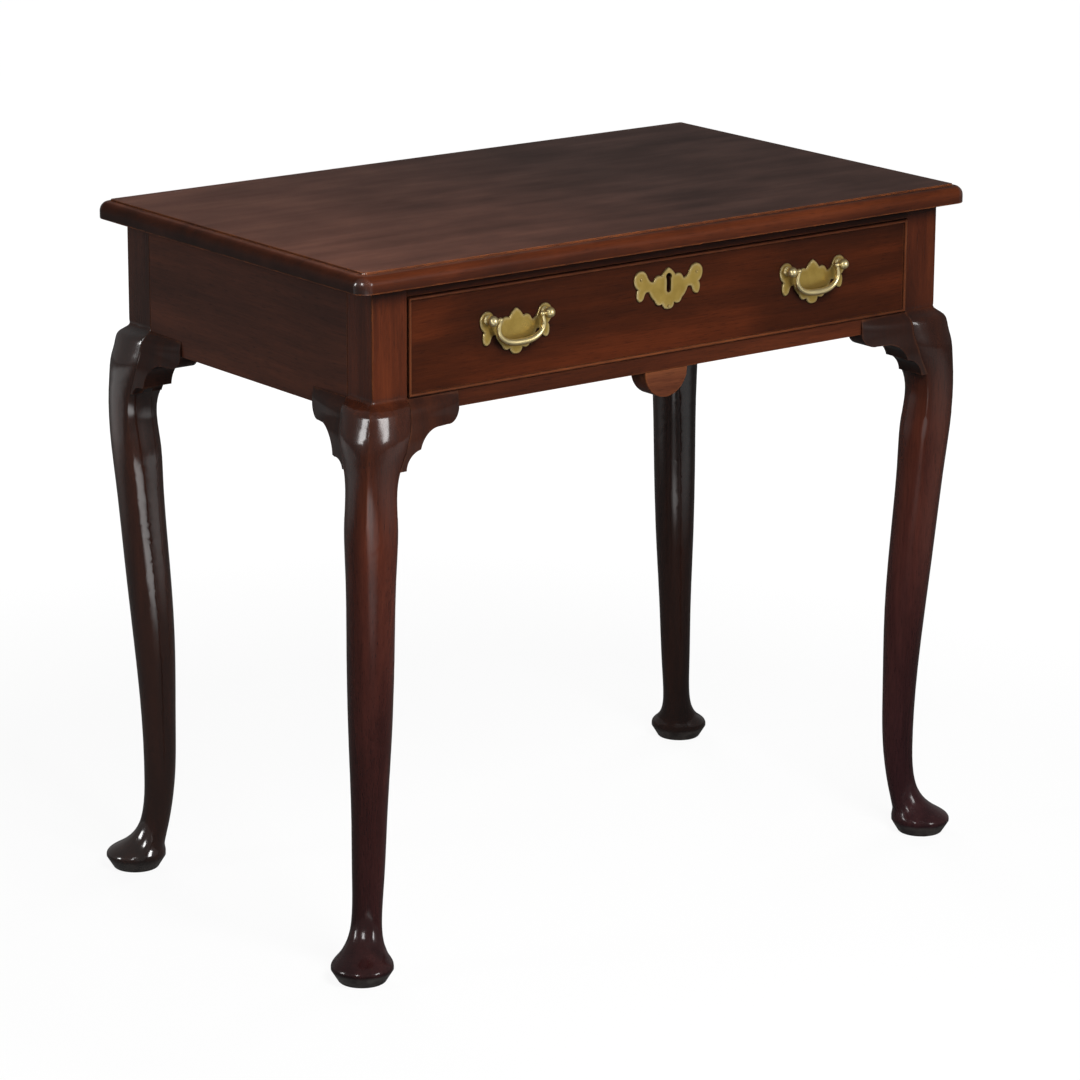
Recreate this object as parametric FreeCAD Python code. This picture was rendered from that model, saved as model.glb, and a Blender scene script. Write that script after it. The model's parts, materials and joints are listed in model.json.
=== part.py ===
import FreeCAD, Part
import os
from math import sqrt, pi, sin

Vector = FreeCAD.Vector
os.makedirs("parts", exist_ok=True)

# Lengths are in millimetres. X runs along the width, the front faces -Y, Z is up.
# The origin is on the floor under the middle of the table.

# The whole table
height = 715.0
top_width = 774.0
top_depth = 470.0
top_thickness = 19.5
end_overhang = 26.5
front_overhang = 20.0
post = 41.0
case_rail_height = 128.0
joint_gap = 0.1

# The moulded edge of the top
edge_inset = 11.5
edge_step = 2.0
edge_round = 9.5
top_corner_radius = 15.0

# The cabriole legs
knee_over_rail = 20.0
foot_radius = 31.2
foot_base_radius = 23.5
foot_rim_height = 15.0
foot_rim_band = 2.5
foot_shift = 21.5
leg_splay = 9.5

# Rails and their joints
side_rail_thickness = 20.0
back_rail_thickness = 18.0
front_rail_height = 17.0
front_rail_depth = 50.0
top_rail_height = 12.0
top_rail_depth = 45.0
tenon_thickness = 8.0
side_tenon_length = 25.0
cross_tenon_length = 21.0
tenon_shoulder = 10.0
tenon_haunch = 14.0
front_tenon_shoulder = 3.5
front_tenon_inset = 8.0
front_tenon_width = 25.0
dovetail_length = 23.0
dovetail_neck = 16.0
dovetail_end = 22.0
mortise_end_gap = 1.0

# Knee brackets and the drop under the front rail
front_bracket_length = 60.0
side_bracket_length = 57.0
bracket_tip = 16.0
bracket_depth = 20.0
bracket_top_gap = 1.0
bracket_tip_drop = 1.0
bracket_root = 24.0
lobe_length = 17.0
lobe_drop = 13.5
lobe_bow = 4.6
flat_length = 11.0
hollow_end = 6.0
front_hollow_drop = 31.5
side_hollow_drop = 40.0
hollow_bow = 5.5
notch_length = 4.0
notch_drop = 1.0
hook_reach = 12.5
hook_drop = 50.0
hook_bow = 3.5
seam_lap = 1.5
drop_width = 54.0
drop_height = 28.0
drop_thickness = 24.0

# Drawer supports inside the case
runner_width = 43.0
guide_height = 15.0
stop_length = 45.0
stop_width = 16.0
stop_height = 4.5
stop_inset = 149.5
glue_block = 18.0
glue_block_length = 60.0
glue_block_inset = 129.5

# The drawer
drawer_side_gap = 0.8
drawer_run_gap = 0.3
drawer_top_gap = 1.2
drawer_stop_gap = 0.2
drawer_back_gap = 26.0
front_thickness = 21.0
front_lap = 6.0
bead_thickness = 3.0
bead_set = 5.0
bead_proud = 2.5
side_thickness = 11.0
side_top_drop = 2.0
back_thickness = 10.0
back_top_drop = 8.0
bottom_thickness = 7.0
bottom_rise = 6.0
groove_depth = 5.0
groove_gap = 0.4
tail_count = 3
tail_flare = 2.2

# Brass handles and keyhole plate
handle_inset = 128.7
plate_width = 87.0
handle_plate_height = 46.0
key_plate_height = 42.5
plate_thickness = 2.0
plate_bevel = 0.7
key_plate_over_middle = 17.5
post_spacing = 69.0
post_under_crown = 8.0
ball_radius = 5.5
ball_reach = 7.5
post_neck_radius = 3.0
post_collar_radius = 4.8
post_collar_height = 1.6
shank_radius = 2.4
shank_gap = 0.3
shank_past_nut = 2.0
nut_radius = 6.5
nut_thickness = 4.0
thread_gap = 0.05
bail_spacing = 51.0
bail_width = 55.0
bail_drop = 24.5
bail_rings = 10
bail_knuckle_radius = 2.7
bail_arm_radius = 2.2
bail_grip_radius = 3.4
bail_pin_radius = 1.6
bail_pin_gap = 0.08
bail_pin_depth = 4.0
keyhole_radius = 3.7
keyhole_slot = 5.8
keyhole_length = 20.0
pin_radius = 0.7
pin_head_radius = 1.3
pin_length = 7.0

# The lock
lock_width = 50.0
lock_height = 36.0
lock_depth = 10.5
lock_wall = 1.5
lock_plate_width = 66.0
lock_plate_height = 45.0
lock_plate_thickness = 2.5
bolt_width = 24.0
bolt_thickness = 4.0
bolt_height = 26.0
bolt_gap = 0.3
bolt_throw = 8.0

# Screws and nails
screw_radius = 2.0
screw_head_radius = 4.0
screw_into_top = 12.0
lock_screw_radius = 1.2
lock_screw_head_radius = 2.4
lock_screw_length = 8.0
nail_radius = 1.0
nail_head_radius = 2.2
nail_length = 18.0
nail_inset = 88.7

# Levels and faces that follow from the sizes above
case_top = height - top_thickness
rail_bottom = case_top - case_rail_height
drawer_floor = rail_bottom + front_rail_height
drawer_roof = case_top - top_rail_height
case_x = top_width / 2 - end_overhang
case_y = top_depth / 2 - front_overhang
inner_x = case_x - post
inner_y = case_y - post
axis_x = case_x - post / 2
axis_y = case_y - post / 2
rail_inside_x = case_x - side_rail_thickness
rail_inside_y = case_y - back_rail_thickness
runner_inside_x = rail_inside_x - runner_width
knee_top = rail_bottom + knee_over_rail
drawer_x = inner_x - drawer_side_gap
drawer_bottom_z = drawer_floor + drawer_run_gap
drawer_top_z = drawer_roof - drawer_top_gap
drawer_middle = (drawer_bottom_z + drawer_top_z) / 2
front_face = -case_y
front_back = front_face + front_thickness
drawer_end = rail_inside_y - drawer_back_gap
handle_place = drawer_x - handle_inset
stop_place = inner_x - stop_inset
glue_block_place = inner_x - glue_block_inset
nail_place = drawer_x - nail_inset
board_top = drawer_top_z - bead_thickness


def block(x0, x1, y0, y1, z0, z1):
    return Part.makeBox(x1 - x0, y1 - y0, z1 - z0, Vector(x0, y0, z0))


def prism(points, direction):
    outline = Part.makePolygon([Vector(*p) for p in points + points[:1]])
    return Part.Face(outline).extrude(Vector(*direction))


def flip(shape, left, front):
    if left:
        shape = shape.mirror(Vector(0, 0, 0), Vector(1, 0, 0))
    if front:
        shape = shape.mirror(Vector(0, 0, 0), Vector(0, 1, 0))
    return shape


def rod(radius, start, direction, length):
    return Part.makeCylinder(radius, length, Vector(*start), Vector(*direction))


def spline(points):
    curve = Part.BSplineCurve()
    curve.interpolate([Vector(*p) for p in points])
    return curve.toShape()


def save(shape, name):
    shape.exportStep("parts/" + name + ".step")


def group(solids, name):
    save(Part.makeCompound(solids), name)


# Top: a slab with rounded corners, an ovolo edge and a field raised by a small step
def rounded_slab(half_x, half_y, z0, z1, radius):
    slab = block(-half_x, half_x, -half_y, half_y, z0, z1)
    uprights = [e for e in slab.Edges if abs(e.Vertexes[0].Z - e.Vertexes[1].Z) > 1]
    return slab.makeFillet(radius, uprights)


step_z = height - edge_step
slab = rounded_slab(top_width / 2, top_depth / 2, case_top, step_z, top_corner_radius)
rim = [e for e in slab.Edges if e.BoundBox.ZMin > step_z - 0.01]
slab = slab.makeFillet(edge_round, rim)
field_x = top_width / 2 - edge_inset
field_y = top_depth / 2 - edge_inset
field = rounded_slab(field_x, field_y, case_top + top_thickness / 2, height, top_corner_radius - edge_inset)
top = slab.fuse(field).removeSplitter()

# Screws rise through the kickers and the rail over the drawer into the top
screw_places = []
for side in (-1, 1):
    screw_places.append((side * (runner_inside_x + rail_inside_x) / 2, -inner_y / 2))
    screw_places.append((side * (runner_inside_x + rail_inside_x) / 2, inner_y / 2))
    screw_places.append((side * inner_x / 2, front_face + top_rail_depth / 2))


def screw(place, grow):
    x, y = place
    length = top_rail_height + screw_into_top
    shank = rod(screw_radius + grow, (x, y, drawer_roof), (0, 0, 1), length + grow)
    sink = screw_head_radius - screw_radius
    head = Part.makeCone(screw_head_radius + grow, screw_radius + grow, sink, Vector(x, y, drawer_roof))
    return shank.fuse(head)


screw_holes = Part.makeCompound([screw(p, joint_gap) for p in screw_places])
top = top.cut(screw_holes)
save(top, "top")
group([screw(p, 0) for p in screw_places], "top_screws")

# Legs: each station gives the share of the knee height, the outward shift of the centre,
# the reach to the corners on the diagonals and the reach to the middle of each side
knee_stations = [
    (1.0, 0.0, post / sqrt(2), post / 2),
    (0.991, 1.2, 30.2, 21.9),
    (0.981, 5.2, 33.4, 26.6),
    (0.961, 7.2, 34.8, 28.8),
    (0.939, 9.6, 35.0, 29.6),
    (0.910, 13.2, 32.0, 27.6),
    (0.872, 17.8, 26.8, 23.3),
]
shank_stations = [
    (0.786, 17.0, 26.4, 24.0),
    (0.714, 14.6, 25.2, 23.7),
    (0.570, 9.9, 23.6, 23.0),
    (0.422, 5.3, 21.5, 21.3),
    (0.272, 2.8, 17.8, 17.7),
    (0.167, 2.8, 16.1, 16.1),
]
foot_stations = [
    (62.0, 5.3, 15.1),
    (47.0, 7.9, 15.9),
    (37.0, 11.0, 18.0),
    (29.0, 14.8, 21.6),
    (24.0, 18.0, 25.4),
    (19.0, 20.6, 29.8),
]


def splay_at(z):
    return leg_splay * (1 - z / knee_top)


def leg_section(z, shift, corner, side):
    x = axis_x + shift + splay_at(z)
    y = axis_y + shift - splay_at(z)
    reach = corner / sqrt(2)
    corners = [Vector(x + reach * a, y + reach * b, z) for a, b in ((1, 1), (-1, 1), (-1, -1), (1, -1))]
    sides = [Vector(x + side * a, y + side * b, z) for a, b in ((0, 1), (-1, 0), (0, -1), (1, 0))]
    edges = []
    for i in range(4):
        start, end = corners[i], corners[(i + 1) % 4]
        if side > reach + 0.01:
            edges.append(Part.Arc(start, sides[i], end).toShape())
        else:
            edges.append(Part.makeLine(start, end))
    return Part.Wire(edges)


def plain_leg():
    upper = [leg_section(knee_top * s, a, b, c) for s, a, b, c in knee_stations + shank_stations]
    lower = [leg_section(z, a, r, r) for z, a, r in foot_stations]
    rim = leg_section(foot_rim_height, foot_shift, foot_radius, foot_radius)
    shaft = Part.makeLoft(upper + lower + [rim], True, False)
    foot_x = axis_x + foot_shift + splay_at(foot_rim_height)
    foot_y = axis_y + foot_shift - splay_at(foot_rim_height)
    band = rod(foot_radius, (foot_x, foot_y, foot_rim_height - foot_rim_band), (0, 0, 1), foot_rim_band)
    base_height = foot_rim_height - foot_rim_band
    base = Part.makeCone(foot_base_radius, foot_radius, base_height, Vector(foot_x, foot_y, 0))
    post_block = block(inner_x, case_x, inner_y, case_y, knee_top, case_top)
    whole = shaft.fuse([band, base, post_block]).removeSplitter()
    # The inner faces stay flat down to the lower edge of the rails
    rail_faces = [block(0, inner_x, 0, top_depth, rail_bottom, case_top)]
    rail_faces.append(block(0, top_width, 0, inner_y, rail_bottom, case_top))
    return whole.cut(rail_faces)


leg_form = plain_leg()


# Tenons, drawn for the right-hand end; grow enlarges them into their mortises
def side_tenon(grow, end_gap, front):
    middle = case_x - side_rail_thickness / 2
    half = tenon_thickness / 2 + grow
    z0 = rail_bottom + tenon_shoulder - grow
    z1 = case_top - tenon_haunch + grow
    tongue = block(middle - half, middle + half, inner_y, inner_y + side_tenon_length + end_gap, z0, z1)
    return flip(tongue, False, front)


def back_tenon(grow, end_gap):
    middle = case_y - back_rail_thickness / 2
    half = tenon_thickness / 2 + grow
    z0 = rail_bottom + tenon_shoulder - grow
    z1 = case_top - tenon_haunch + grow
    return block(inner_x, inner_x + cross_tenon_length + end_gap, middle - half, middle + half, z0, z1)


def front_tenon(grow, end_gap):
    y0 = front_face + front_tenon_inset - grow
    y1 = y0 + front_tenon_width + 2 * grow
    z0 = rail_bottom + front_tenon_shoulder - grow
    z1 = drawer_floor - front_tenon_shoulder + grow
    return block(inner_x, inner_x + cross_tenon_length + end_gap, y0, y1, z0, z1)


def dovetail(grow):
    neck = dovetail_neck / 2 + grow
    end = dovetail_end / 2 + grow
    x1 = inner_x + dovetail_length + grow
    points = [(inner_x, -axis_y - neck), (x1, -axis_y - end), (x1, -axis_y + end), (inner_x, -axis_y + neck)]
    return prism([(x, y, drawer_roof - grow) for x, y in points], (0, 0, top_rail_height + grow))


front_cuts = [side_tenon(joint_gap, mortise_end_gap, True), front_tenon(joint_gap, mortise_end_gap)]
front_cuts.append(dovetail(joint_gap))
back_cuts = [side_tenon(joint_gap, mortise_end_gap, False), back_tenon(joint_gap, mortise_end_gap)]
leg_front = flip(leg_form, False, True).cut(front_cuts)
leg_back = leg_form.cut(back_cuts)
save(leg_front, "leg_front_right")
save(flip(leg_front, True, False), "leg_front_left")
save(leg_back, "leg_back_right")
save(flip(leg_back, True, False), "leg_back_left")

# Rails
side_rail = block(rail_inside_x, case_x, -inner_y, inner_y, rail_bottom, case_top)
side_rail = side_rail.fuse([side_tenon(0, 0, True), side_tenon(0, 0, False)])
save(side_rail, "side_rail_right")
save(flip(side_rail, True, False), "side_rail_left")

back_rail = block(-inner_x, inner_x, rail_inside_y, case_y, rail_bottom, case_top)
back_rail = back_rail.fuse([back_tenon(0, 0), flip(back_tenon(0, 0), True, False)])
save(back_rail, "back_rail")

front_rail_back = front_face + front_rail_depth
front_rail = block(-inner_x, inner_x, front_face, front_rail_back, rail_bottom, drawer_floor)
front_rail = front_rail.fuse([front_tenon(0, 0), flip(front_tenon(0, 0), True, False)])
save(front_rail, "front_rail")

bolt_y = front_back - lock_plate_thickness - lock_wall - bolt_gap - bolt_thickness / 2


def bolt_slot(grow, z0, z1):
    half_x = bolt_width / 2 + grow
    half_y = bolt_thickness / 2 + grow
    return block(-half_x, half_x, bolt_y - half_y, bolt_y + half_y, z0, z1)


top_rail_back = front_face + top_rail_depth
top_rail = block(-inner_x, inner_x, front_face, top_rail_back, drawer_roof, case_top)
top_rail = top_rail.fuse([dovetail(0), flip(dovetail(0), True, False)])
strike = bolt_slot(4 * bolt_gap, drawer_roof, drawer_roof + bolt_throw + 4 * bolt_gap)
top_rail = top_rail.cut([strike, screw_holes])
save(top_rail, "top_rail")

# A half-round drop is glued under the middle of the front rail
half_drop = drop_width / 2
drop_left = Vector(-half_drop, front_face, rail_bottom)
drop_right = Vector(half_drop, front_face, rail_bottom)
drop_low = Vector(0, front_face, rail_bottom - drop_height)
drop_arc = Part.Arc(drop_right, drop_low, drop_left).toShape()
drop_face = Part.Face(Part.Wire([Part.makeLine(drop_left, drop_right), drop_arc]))
save(drop_face.extrude(Vector(0, drop_thickness, 0)), "apron_drop")

# Knee brackets: the bulge of the knee runs out along the rail to a thin tip.
# They are drawn for the face of a back right leg and turned to the other places.
bracket_top = drawer_floor - bracket_top_gap
bulge_line = [(knee_top * s, shift + corner / sqrt(2)) for s, shift, corner, side in knee_stations]
seam_line = [(corner / sqrt(2) - shift - post / 2 - seam_lap, knee_top * s)
             for s, shift, corner, side in knee_stations]


def bracket_profile(run, share):
    x = inner_x - run
    back = case_y - bracket_depth
    curve = [(x, case_y + share * (axis_y + reach - case_y), z) for z, reach in bulge_line]
    front_edge = spline(curve)
    first = Vector(*curve[0])
    last = Vector(*curve[-1])
    upper = Part.makeLine(Vector(x, back, first.z), first)
    lower = Part.makeLine(last, Vector(x, back, last.z))
    rear = Part.makeLine(Vector(x, back, last.z), Vector(x, back, first.z))
    return Part.Wire([upper, front_edge, lower, rear])


def bowed_arc(start, end, bow):
    along = end - start
    across = Vector(-along.z, 0, along.x).normalize()
    return Part.Arc(start, (start + end) / 2 + across * bow, end).toShape()


def bracket_outline(length, hollow_drop):
    # The lower edge seen square on: a round lobe at the tip, a step, then two hollows
    def at(run, drop):
        return Vector(inner_x - run, 0, rail_bottom - drop)

    tip = at(length, bracket_tip_drop)
    lobe = at(length - lobe_length, lobe_drop)
    flat = at(length - lobe_length - flat_length, lobe_drop)
    hollow = at(hollow_end, hollow_drop)
    notch = at(hollow_end - notch_length, hollow_drop + notch_drop)
    hook = at(-hook_reach, hook_drop)
    seam = [at(run, rail_bottom - max(hook.z, min(z, bracket_top))) for run, z in seam_line]
    upper_tip = Vector(tip.x, 0, bracket_top)
    edges = [bowed_arc(tip, lobe, -lobe_bow), Part.makeLine(lobe, flat), bowed_arc(flat, hollow, hollow_bow)]
    edges = edges + [Part.makeLine(hollow, notch), bowed_arc(notch, hook, hook_bow)]
    edges = edges + Part.makePolygon([hook] + seam[::-1] + [upper_tip, tip]).Edges
    return Part.Face(Part.Wire(edges)).extrude(Vector(0, top_depth, 0))


def bracket_form(length, hollow_drop):
    runs = [(-bracket_root, 1.0), (notch_length, 0.93), (length - bracket_tip, 0.5), (length, 0.2)]
    body = Part.makeLoft([bracket_profile(r, s) for r, s in runs], True, False)
    rail_room = block(0, case_x, 0, case_y, rail_bottom, height)
    return body.common(bracket_outline(length, hollow_drop)).cut(rail_room)


def turned_bracket():
    # The bracket of the end face: X and Y change places about the post
    form = bracket_form(side_bracket_length, side_hollow_drop)
    form.translate(Vector(-axis_x, -axis_y, 0))
    form = form.mirror(Vector(0, 0, 0), Vector(1, -1, 0))
    form.translate(Vector(axis_x, axis_y, 0))
    return form


def only_big(shape):
    return max(shape.Solids, key=lambda s: s.Volume)


front_bracket = bracket_form(front_bracket_length, front_hollow_drop)
front_bracket = only_big(flip(front_bracket, False, True).cut(leg_front))
save(front_bracket, "bracket_front_right")
save(flip(front_bracket, True, False), "bracket_front_left")

side_bracket = only_big(turned_bracket().cut(leg_back))
save(side_bracket, "bracket_back_right_side")
save(flip(side_bracket, True, False), "bracket_back_left_side")
save(flip(side_bracket, False, True), "bracket_front_right_side")
save(flip(side_bracket, True, True), "bracket_front_left_side")

# Supports for the drawer inside the case, drawn for the right-hand side
rear_post = block(inner_x, case_x, inner_y, case_y, 0, height)
runner = block(runner_inside_x, rail_inside_x, front_rail_back, rail_inside_y, rail_bottom, drawer_floor)
runner = runner.cut(rear_post)
save(runner, "drawer_runner_right")
save(flip(runner, True, False), "drawer_runner_left")

guide = block(inner_x, rail_inside_x, front_rail_back, inner_y, drawer_floor, drawer_floor + guide_height)
save(guide, "drawer_guide_right")
save(flip(guide, True, False), "drawer_guide_left")

kicker = block(runner_inside_x, rail_inside_x, top_rail_back, rail_inside_y, drawer_roof, case_top)
kicker = kicker.cut([rear_post, screw_holes])
save(kicker, "kicker_right")
save(flip(kicker, True, False), "kicker_left")

# Stops on the front rail meet the back of the drawer front
stop_y = front_back + drawer_stop_gap
stops = []
for side in (-1, 1):
    x0 = side * stop_place - stop_length / 2
    stop = Part.makeBox(stop_length, stop_width, stop_height, Vector(x0, stop_y, drawer_floor))
    stops.append(stop)
group(stops, "drawer_stops")

# Three-cornered blocks glued between the back rail and the top
blocks = []
for place in (-1, 0, 1):
    x0 = place * glue_block_place - glue_block_length / 2
    corner = (x0, rail_inside_y, case_top)
    low = (x0, rail_inside_y, case_top - glue_block)
    far = (x0, rail_inside_y - glue_block, case_top)
    blocks.append(prism([corner, low, far], (glue_block_length, 0, 0)))
group(blocks, "glue_blocks")

# Drawer: the height of the sides is shared out between the tails
side_top = drawer_top_z - side_top_drop
side_inside = drawer_x - side_thickness
back_y = drawer_end - back_thickness
bottom_z = drawer_bottom_z + bottom_rise
bottom_top = bottom_z + bottom_thickness
back_top = side_top - back_top_drop
pitch = (board_top - drawer_bottom_z) / tail_count
lap_y = front_face + front_lap


def tail(z, grow):
    neck = pitch / 4 + grow
    end = neck + tail_flare
    y0 = lap_y - grow
    points = [(front_back, z - neck), (front_back, z + neck), (y0, z + end), (y0, z - end)]
    return prism([(side_inside - grow, y, zz) for y, zz in points], (side_thickness + grow, 0, 0))


tail_levels = [drawer_bottom_z + pitch * (i + 0.5) for i in range(tail_count)]
tail_levels[-1] = tail_levels[-1] - side_top_drop
pin_levels = [bottom_top + (back_top - bottom_top) * share for share in (0.25, 0.75)]


def back_pin(z, grow):
    neck = (back_top - bottom_top) / 10 + grow
    end = neck + tail_flare
    points = [(side_inside, z - end), (side_inside, z + end), (drawer_x, z + neck), (drawer_x, z - neck)]
    return prism([(x, back_y - grow, zz) for x, zz in points], (0, back_thickness + 2 * grow, 0))


bottom_edge = side_inside + groove_depth
groove_z0 = bottom_z - groove_gap / 2
groove_z1 = bottom_top + groove_gap / 2
groove = block(-bottom_edge, bottom_edge, front_back - groove_depth, drawer_end + 1, groove_z0, groove_z1)

drawer_side = block(side_inside, drawer_x, front_back, drawer_end, drawer_bottom_z, side_top)
drawer_side = drawer_side.fuse([tail(z, 0) for z in tail_levels])
drawer_side = drawer_side.cut([back_pin(z, joint_gap) for z in pin_levels] + [groove])
save(drawer_side, "drawer_side_right")
save(flip(drawer_side, True, False), "drawer_side_left")

drawer_back = block(-side_inside, side_inside, back_y, drawer_end, groove_z1, back_top)
for z in pin_levels:
    drawer_back = drawer_back.fuse([back_pin(z, 0), flip(back_pin(z, 0), True, False)])
nail_places = [place * nail_place for place in (-1, 0, 1)]
nail_y = drawer_end - back_thickness / 2


def nail(x, grow):
    shank = rod(nail_radius + grow, (x, nail_y, bottom_z), (0, 0, 1), nail_length + grow)
    head = rod(nail_head_radius + grow, (x, nail_y, bottom_z), (0, 0, 1), nail_radius)
    return shank.fuse(head)


nail_holes = [nail(x, joint_gap) for x in nail_places]
drawer_back = drawer_back.cut(nail_holes)
save(drawer_back, "drawer_back")
group([nail(x, 0) for x in nail_places], "drawer_nails")

bottom_half = bottom_edge - groove_gap
drawer_bottom = block(-bottom_half, bottom_half, front_back - groove_depth + groove_gap, drawer_end,
                      bottom_z, bottom_top)
save(drawer_bottom.cut(nail_holes), "drawer_bottom")


# Cock beads: thin strips with a round nose, mitred round the edge of the drawer front
def bead_bar(length):
    nose = bead_thickness / 2
    y0 = front_face - bead_proud + nose
    y1 = front_face + bead_set
    points = [(0, y0, bead_thickness), (0, y1, bead_thickness), (0, y1, 0), (0, y0, 0)]
    straight = Part.makePolygon([Vector(*p) for p in points])
    round_nose = Part.Arc(Vector(0, y0, 0), Vector(0, y0 - nose, nose), Vector(0, y0, bead_thickness))
    return Part.Face(Part.Wire(straight.Edges + [round_nose.toShape()])).extrude(Vector(length, 0, 0))


def mitre(length):
    ends = []
    for x, slope in ((0, 1), (length, -1)):
        inside = x + slope * bead_thickness
        points = [(x, 0), (x, bead_thickness), (inside, bead_thickness)]
        ends.append(prism([(a, front_face - 2 * bead_proud, b) for a, b in points], (0, front_thickness, 0)))
    return ends


def bead_strip(length):
    bar = bead_bar(length)
    return bar.cut(mitre(length))


front_width = 2 * drawer_x
front_height = drawer_top_z - drawer_bottom_z
bead_bottom = bead_strip(front_width)
bead_bottom.translate(Vector(-drawer_x, 0, drawer_bottom_z))
save(bead_bottom, "cock_bead_bottom")

bead_top = bead_strip(front_width)
bead_top.rotate(Vector(0, 0, 0), Vector(0, 1, 0), 180)
bead_top = bead_top.translated(Vector(drawer_x, 0, drawer_top_z))
bead_board = block(-drawer_x, drawer_x, front_face + bead_set, front_back, board_top, drawer_top_z)
bead_top = bead_top.fuse(bead_board).removeSplitter()
bead_top = bead_top.cut(bolt_slot(2 * bolt_gap, board_top, drawer_top_z))
save(bead_top, "cock_bead_top")

bead_right = bead_strip(front_height)
bead_right.rotate(Vector(0, 0, 0), Vector(0, 1, 0), -90)
bead_right = bead_right.translated(Vector(drawer_x, 0, drawer_bottom_z))
save(bead_right, "cock_bead_right")
save(flip(bead_right, True, False), "cock_bead_left")

# Drawer front: a board with rebates for the beads, sockets for the tails and room for the lock
crown_z = drawer_middle + handle_plate_height / 2
pivot_z = crown_z - post_under_crown
post_places = []
for side in (-1, 1):
    for half in (-1, 1):
        post_places.append(side * handle_place + half * post_spacing / 2)
key_crown = drawer_middle + key_plate_over_middle + key_plate_height / 2
keyhole_z = key_crown - key_plate_height * 0.22
lock_top = board_top
lock_back = front_back - lock_plate_thickness
lock_front = lock_back - lock_depth


def keyhole(y0, y1):
    round_hole = rod(keyhole_radius, (0, y0, keyhole_z), (0, 1, 0), y1 - y0)
    half = keyhole_slot / 2
    foot = keyhole_z + keyhole_radius - keyhole_length + half
    slot = block(-half, half, y0, y1, foot, keyhole_z)
    return round_hole.fuse([slot, rod(half, (0, y0, foot), (0, 1, 0), y1 - y0)]).removeSplitter()


lock_screw_places = []
for side in (-1, 1):
    for level in (0.15, 0.85):
        x = side * (lock_width + lock_plate_width) / 4
        lock_screw_places.append((x, lock_top - lock_plate_height * level))


def lock_screw(place, grow):
    x, z = place
    shank = rod(lock_screw_radius + grow, (x, front_back, z), (0, -1, 0), lock_screw_length + grow)
    sink = lock_screw_head_radius - lock_screw_radius
    cone = Part.makeCone(lock_screw_head_radius + grow, lock_screw_radius + grow, sink,
                         Vector(x, front_back, z), Vector(0, -1, 0))
    return shank.fuse(cone)


# The keyhole plate is held by small round-headed pins
key_pin_places = []
for across, down in ((-0.82, 0.20), (0.82, 0.20), (0.0, 0.93)):
    key_pin_places.append((across * plate_width / 2, key_crown - down * key_plate_height))


def key_pin(place):
    x, z = place
    face = front_face - plate_thickness
    shank = rod(pin_radius, (x, face, z), (0, 1, 0), pin_length)
    head = Part.makeSphere(pin_head_radius, Vector(x, face, z), Vector(0, -1, 0), 0, 90, 360)
    return shank.fuse(head)


def key_pin_hole(place):
    x, z = place
    face = front_face - plate_thickness
    return rod(pin_radius + joint_gap, (x, face, z), (0, 1, 0), pin_length + joint_gap)


lock_screw_holes = [lock_screw(p, joint_gap) for p in lock_screw_places]
half_lock = lock_width / 2 + joint_gap
half_plate = lock_plate_width / 2 + joint_gap
board = block(-drawer_x, drawer_x, front_face, front_back, drawer_bottom_z, board_top)
rebate_y = front_face + bead_set
cuts = [block(-drawer_x, drawer_x, front_face, rebate_y, drawer_bottom_z, drawer_bottom_z + bead_thickness)]
for x0 in (-drawer_x, drawer_x - bead_thickness):
    cuts.append(block(x0, x0 + bead_thickness, front_face, rebate_y, drawer_bottom_z, board_top))
for z in tail_levels:
    cuts.append(tail(z, joint_gap))
    cuts.append(flip(tail(z, joint_gap), True, False))
for x in post_places:
    cuts.append(rod(shank_radius + shank_gap, (x, front_face, pivot_z), (0, 1, 0), front_thickness))
box_low = lock_top - lock_height - joint_gap
plate_low = lock_top - lock_plate_height - joint_gap
cuts.append(block(-half_lock, half_lock, lock_front, front_back, box_low, lock_top))
cuts.append(block(-half_plate, half_plate, lock_back, front_back, plate_low, lock_top))
cuts.append(keyhole(front_face, front_back))
cuts.append(groove)
cuts = cuts + [key_pin_hole(p) for p in key_pin_places]
save(board.cut(cuts + lock_screw_holes), "drawer_front")

# Lock: a thin box behind the keyhole with a back plate; the bolt slides up through its top
box = block(-lock_width / 2, lock_width / 2, lock_front, lock_back, lock_top - lock_height, lock_top)
hollow = block(-lock_width / 2 + lock_wall, lock_width / 2 - lock_wall, lock_front + lock_wall,
               lock_back - lock_wall, lock_top - lock_height + lock_wall, lock_top - lock_wall)
plate = block(-lock_plate_width / 2, lock_plate_width / 2, lock_back, front_back,
              lock_top - lock_plate_height, lock_top)
case = box.fuse(plate).removeSplitter()
case = case.cut([hollow, bolt_slot(bolt_gap, lock_top - lock_wall - 1, lock_top)])
case = case.cut([keyhole(lock_front, lock_front + lock_wall)] + lock_screw_holes)
save(case, "lock_case")
group([lock_screw(p, 0) for p in lock_screw_places], "lock_screws")
save(bolt_slot(0, drawer_top_z - bolt_height, drawer_top_z), "lock_bolt")


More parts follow.
